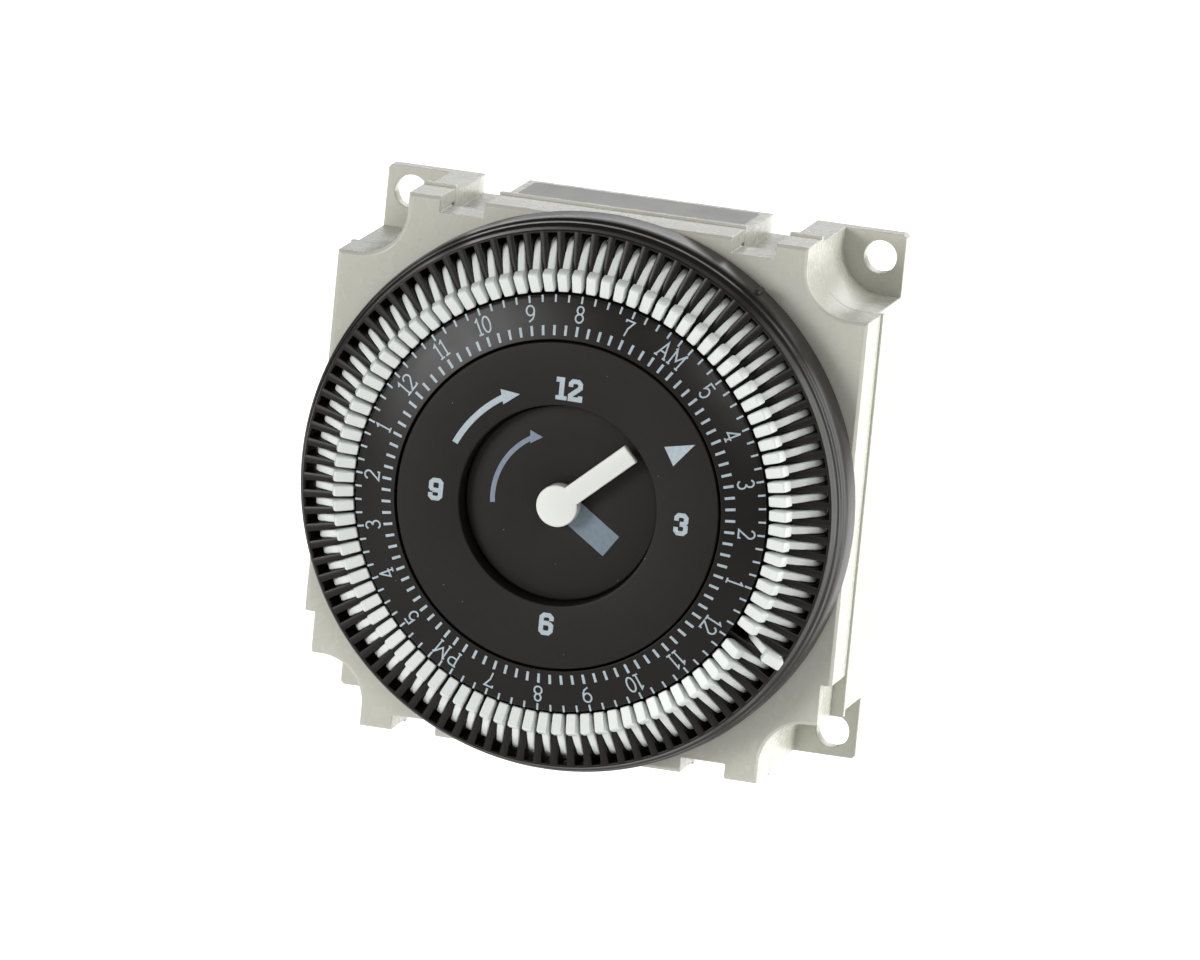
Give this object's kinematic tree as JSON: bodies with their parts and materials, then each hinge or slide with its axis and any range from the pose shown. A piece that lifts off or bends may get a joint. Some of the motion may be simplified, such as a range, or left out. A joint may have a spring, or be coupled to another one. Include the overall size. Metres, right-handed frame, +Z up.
{
  "type": "programmable timer",
  "caption": "Panel-mounted 24-hour mechanical timer: dial with rocking trippers, hour disc and minute hand in a square notched housing with lugs.",
  "frame": {"origin": "centre of the four mounting holes, in the plane of the lugs' rear faces, on the dial's axis", "axes": "+X right and +Z up seen from the front; the dial faces -Y; +Y points into the panel"},
  "size_m": [0.072, 0.0364, 0.072],
  "materials": {
    "housing_grey": "satin moulded, warm light grey-green",
    "dial_black": "satin moulded, brown-black",
    "tripper_white": "moulded, semi-gloss",
    "hand_white": "moulded, semi-gloss",
    "gear_plastic": "moulded acetal",
    "steel": "bright turned or drawn",
    "brass": "rolled",
    "tinned_brass": "bright tinned",
    "coil": "wound enamelled copper",
    "switch_black": "moulded",
    "switch_red": "moulded",
    "label": "glossy film, blank"
  },
  "bodies": {
    "root": {"front_cover": "housing_grey", "rear_case": "housing_grey", "rating_label": "label", "terminal_tabs": "tinned_brass", "movement_plate": "gear_plastic", "plate_screws": "steel", "motor_case": "steel", "motor_coil": "coil", "motion_stud": "steel", "centre_plate": "dial_black", "switch_body": "switch_black", "lever_pin": "steel"},
    "dial": {"dial": "dial_black", "tripper_wire": "steel", "tripper_set": "tripper_white"},
    "minute": {"minute_arbor": "steel", "centre_wheel": "gear_plastic", "clutch_spring": "steel", "minute_hand": "hand_white"},
    "hour": {"hour_wheel": "gear_plastic", "hour_disc": "dial_black"},
    "motion_wheel": {"motion_wheel": "gear_plastic"},
    "dial_drive": {"dial_drive_pinion": "gear_plastic"},
    "motor_pinion": {"motor_pinion": "brass"},
    "switch_lever": {"switch_lever": "gear_plastic"},
    "switch_plunger": {"switch_plunger": "switch_red"},
    "tripper_00": {"tripper_00": "tripper_white"},
    "tripper_01": {"tripper_01": "tripper_white"},
    "tripper_02": {"tripper_02": "tripper_white"},
    "tripper_03": {"tripper_03": "tripper_white"},
    "tripper_04": {"tripper_04": "tripper_white"},
    "tripper_05": {"tripper_05": "tripper_white"},
    "tripper_06": {"tripper_06": "tripper_white"},
    "tripper_07": {"tripper_07": "tripper_white"},
    "tripper_08": {"tripper_08": "tripper_white"},
    "tripper_09": {"tripper_09": "tripper_white"},
    "tripper_10": {"tripper_10": "tripper_white"},
    "tripper_11": {"tripper_11": "tripper_white"},
    "tripper_12": {"tripper_12": "tripper_white"},
    "tripper_13": {"tripper_13": "tripper_white"},
    "tripper_14": {"tripper_14": "tripper_white"},
    "tripper_15": {"tripper_15": "tripper_white"},
    "tripper_16": {"tripper_16": "tripper_white"},
    "tripper_17": {"tripper_17": "tripper_white"},
    "tripper_18": {"tripper_18": "tripper_white"},
    "tripper_19": {"tripper_19": "tripper_white"},
    "tripper_20": {"tripper_20": "tripper_white"},
    "tripper_21": {"tripper_21": "tripper_white"},
    "tripper_22": {"tripper_22": "tripper_white"},
    "tripper_23": {"tripper_23": "tripper_white"}
  },
  "joints": [
    {"name": "dial_spin", "type": "hinge", "parent": "root", "child": "dial", "pos_m": [0, 0, 0], "axis": [0, 1, 0], "continuous": true},
    {"name": "minute_spin", "type": "hinge", "parent": "root", "child": "minute", "pos_m": [0, 0, 0], "axis": [0, 1, 0], "continuous": true},
    {"name": "hour_spin", "type": "hinge", "parent": "root", "child": "hour", "pos_m": [0, 0, 0], "axis": [0, 1, 0], "continuous": true},
    {"name": "motion_spin", "type": "hinge", "parent": "root", "child": "motion_wheel", "pos_m": [0.0072, 0, -0.01247], "axis": [0, 1, 0], "continuous": true},
    {"name": "dial_drive_spin", "type": "hinge", "parent": "root", "child": "dial_drive", "pos_m": [-0.00101, 0, -0.01617], "axis": [0, 1, 0], "continuous": true},
    {"name": "motor_spin", "type": "hinge", "parent": "root", "child": "motor_pinion", "pos_m": [-0.014, 0, 0], "axis": [0, 1, 0], "continuous": true},
    {"name": "lever_swing", "type": "hinge", "parent": "root", "child": "switch_lever", "pos_m": [0.01615, -0.0189, 0.02847], "axis": [0, 1, 0], "range_deg": [0, 6], "stiffness_Nm_per_rad": 0.002},
    {"name": "plunger_slide", "type": "slide", "parent": "root", "child": "switch_plunger", "axis": [-0.8557, 0, -0.5174], "range_m": [0, 0.0006283]},
    {"name": "tripper_00_rock", "type": "hinge", "parent": "dial", "child": "tripper_00", "pos_m": [0.02721, -0.0275, -0.01506], "axis": [0.4843, 0, 0.8749], "range_deg": [-41.2, 0]},
    {"name": "tripper_01_rock", "type": "hinge", "parent": "dial", "child": "tripper_01", "pos_m": [0.03018, -0.0275, -0.00751], "axis": [0.2413, 0, 0.9704], "range_deg": [0, 41.2]},
    {"name": "tripper_02_rock", "type": "hinge", "parent": "dial", "child": "tripper_02", "pos_m": [0.03109, -0.0275, 0.00056], "axis": [-0.0181, 0, 0.9998], "range_deg": [0, 41.2]},
    {"name": "tripper_03_rock", "type": "hinge", "parent": "dial", "child": "tripper_03", "pos_m": [0.02989, -0.0275, 0.00859], "axis": [-0.2762, 0, 0.9611], "range_deg": [0, 41.2]},
    {"name": "tripper_04_rock", "type": "hinge", "parent": "dial", "child": "tripper_04", "pos_m": [0.02665, -0.0275, 0.01603], "axis": [-0.5156, 0, 0.8569], "range_deg": [0, 41.2]},
    {"name": "tripper_05_rock", "type": "hinge", "parent": "dial", "child": "tripper_05", "pos_m": [0.02159, -0.0275, 0.02238], "axis": [-0.7198, 0, 0.6942], "range_deg": [0, 41.2]},
    {"name": "tripper_06_rock", "type": "hinge", "parent": "dial", "child": "tripper_06", "pos_m": [0.01506, -0.0275, 0.02721], "axis": [-0.8749, 0, 0.4843], "range_deg": [0, 41.2]},
    {"name": "tripper_07_rock", "type": "hinge", "parent": "dial", "child": "tripper_07", "pos_m": [0.00751, -0.0275, 0.03018], "axis": [-0.9704, 0, 0.2413], "range_deg": [0, 41.2]},
    {"name": "tripper_08_rock", "type": "hinge", "parent": "dial", "child": "tripper_08", "pos_m": [-0.00056, -0.0275, 0.03109], "axis": [-0.9998, 0, -0.0181], "range_deg": [0, 41.2]},
    {"name": "tripper_09_rock", "type": "hinge", "parent": "dial", "child": "tripper_09", "pos_m": [-0.00859, -0.0275, 0.02989], "axis": [-0.9611, 0, -0.2762], "range_deg": [0, 41.2]},
    {"name": "tripper_10_rock", "type": "hinge", "parent": "dial", "child": "tripper_10", "pos_m": [-0.01603, -0.0275, 0.02665], "axis": [-0.8569, 0, -0.5156], "range_deg": [0, 41.2]},
    {"name": "tripper_11_rock", "type": "hinge", "parent": "dial", "child": "tripper_11", "pos_m": [-0.02238, -0.0275, 0.02159], "axis": [-0.6942, 0, -0.7198], "range_deg": [0, 41.2]},
    {"name": "tripper_12_rock", "type": "hinge", "parent": "dial", "child": "tripper_12", "pos_m": [-0.02721, -0.0275, 0.01506], "axis": [-0.4843, 0, -0.8749], "range_deg": [0, 41.2]},
    {"name": "tripper_13_rock", "type": "hinge", "parent": "dial", "child": "tripper_13", "pos_m": [-0.03018, -0.0275, 0.00751], "axis": [-0.2413, 0, -0.9704], "range_deg": [0, 41.2]},
    {"name": "tripper_14_rock", "type": "hinge", "parent": "dial", "child": "tripper_14", "pos_m": [-0.03109, -0.0275, -0.00056], "axis": [0.0181, 0, -0.9998], "range_deg": [0, 41.2]},
    {"name": "tripper_15_rock", "type": "hinge", "parent": "dial", "child": "tripper_15", "pos_m": [-0.02989, -0.0275, -0.00859], "axis": [0.2762, 0, -0.9611], "range_deg": [0, 41.2]},
    {"name": "tripper_16_rock", "type": "hinge", "parent": "dial", "child": "tripper_16", "pos_m": [-0.02665, -0.0275, -0.01603], "axis": [0.5156, 0, -0.8569], "range_deg": [0, 41.2]},
    {"name": "tripper_17_rock", "type": "hinge", "parent": "dial", "child": "tripper_17", "pos_m": [-0.02159, -0.0275, -0.02238], "axis": [0.7198, 0, -0.6942], "range_deg": [0, 41.2]},
    {"name": "tripper_18_rock", "type": "hinge", "parent": "dial", "child": "tripper_18", "pos_m": [-0.01506, -0.0275, -0.02721], "axis": [0.8749, 0, -0.4843], "range_deg": [0, 41.2]},
    {"name": "tripper_19_rock", "type": "hinge", "parent": "dial", "child": "tripper_19", "pos_m": [-0.00751, -0.0275, -0.03018], "axis": [0.9704, 0, -0.2413], "range_deg": [0, 41.2]},
    {"name": "tripper_20_rock", "type": "hinge", "parent": "dial", "child": "tripper_20", "pos_m": [0.00056, -0.0275, -0.03109], "axis": [0.9998, 0, 0.0181], "range_deg": [0, 41.2]},
    {"name": "tripper_21_rock", "type": "hinge", "parent": "dial", "child": "tripper_21", "pos_m": [0.00859, -0.0275, -0.02989], "axis": [0.9611, 0, 0.2762], "range_deg": [0, 41.2]},
    {"name": "tripper_22_rock", "type": "hinge", "parent": "dial", "child": "tripper_22", "pos_m": [0.01603, -0.0275, -0.02665], "axis": [0.8569, 0, 0.5156], "range_deg": [0, 41.2]},
    {"name": "tripper_23_rock", "type": "hinge", "parent": "dial", "child": "tripper_23", "pos_m": [0.02238, -0.0275, -0.02159], "axis": [0.6942, 0, 0.7198], "range_deg": [0, 41.2]}
  ],
  "couplings": [
    {"joint": "minute_spin", "follows": "dial_spin", "ratio": 24},
    {"joint": "hour_spin", "follows": "dial_spin", "ratio": 2},
    {"joint": "motion_spin", "follows": "dial_spin", "ratio": -6},
    {"joint": "dial_drive_spin", "follows": "dial_spin", "ratio": 4},
    {"joint": "motor_spin", "follows": "dial_spin", "ratio": -60},
    {"joint": "plunger_slide", "follows": "lever_swing", "m_per_rad": 0.006}
  ]
}
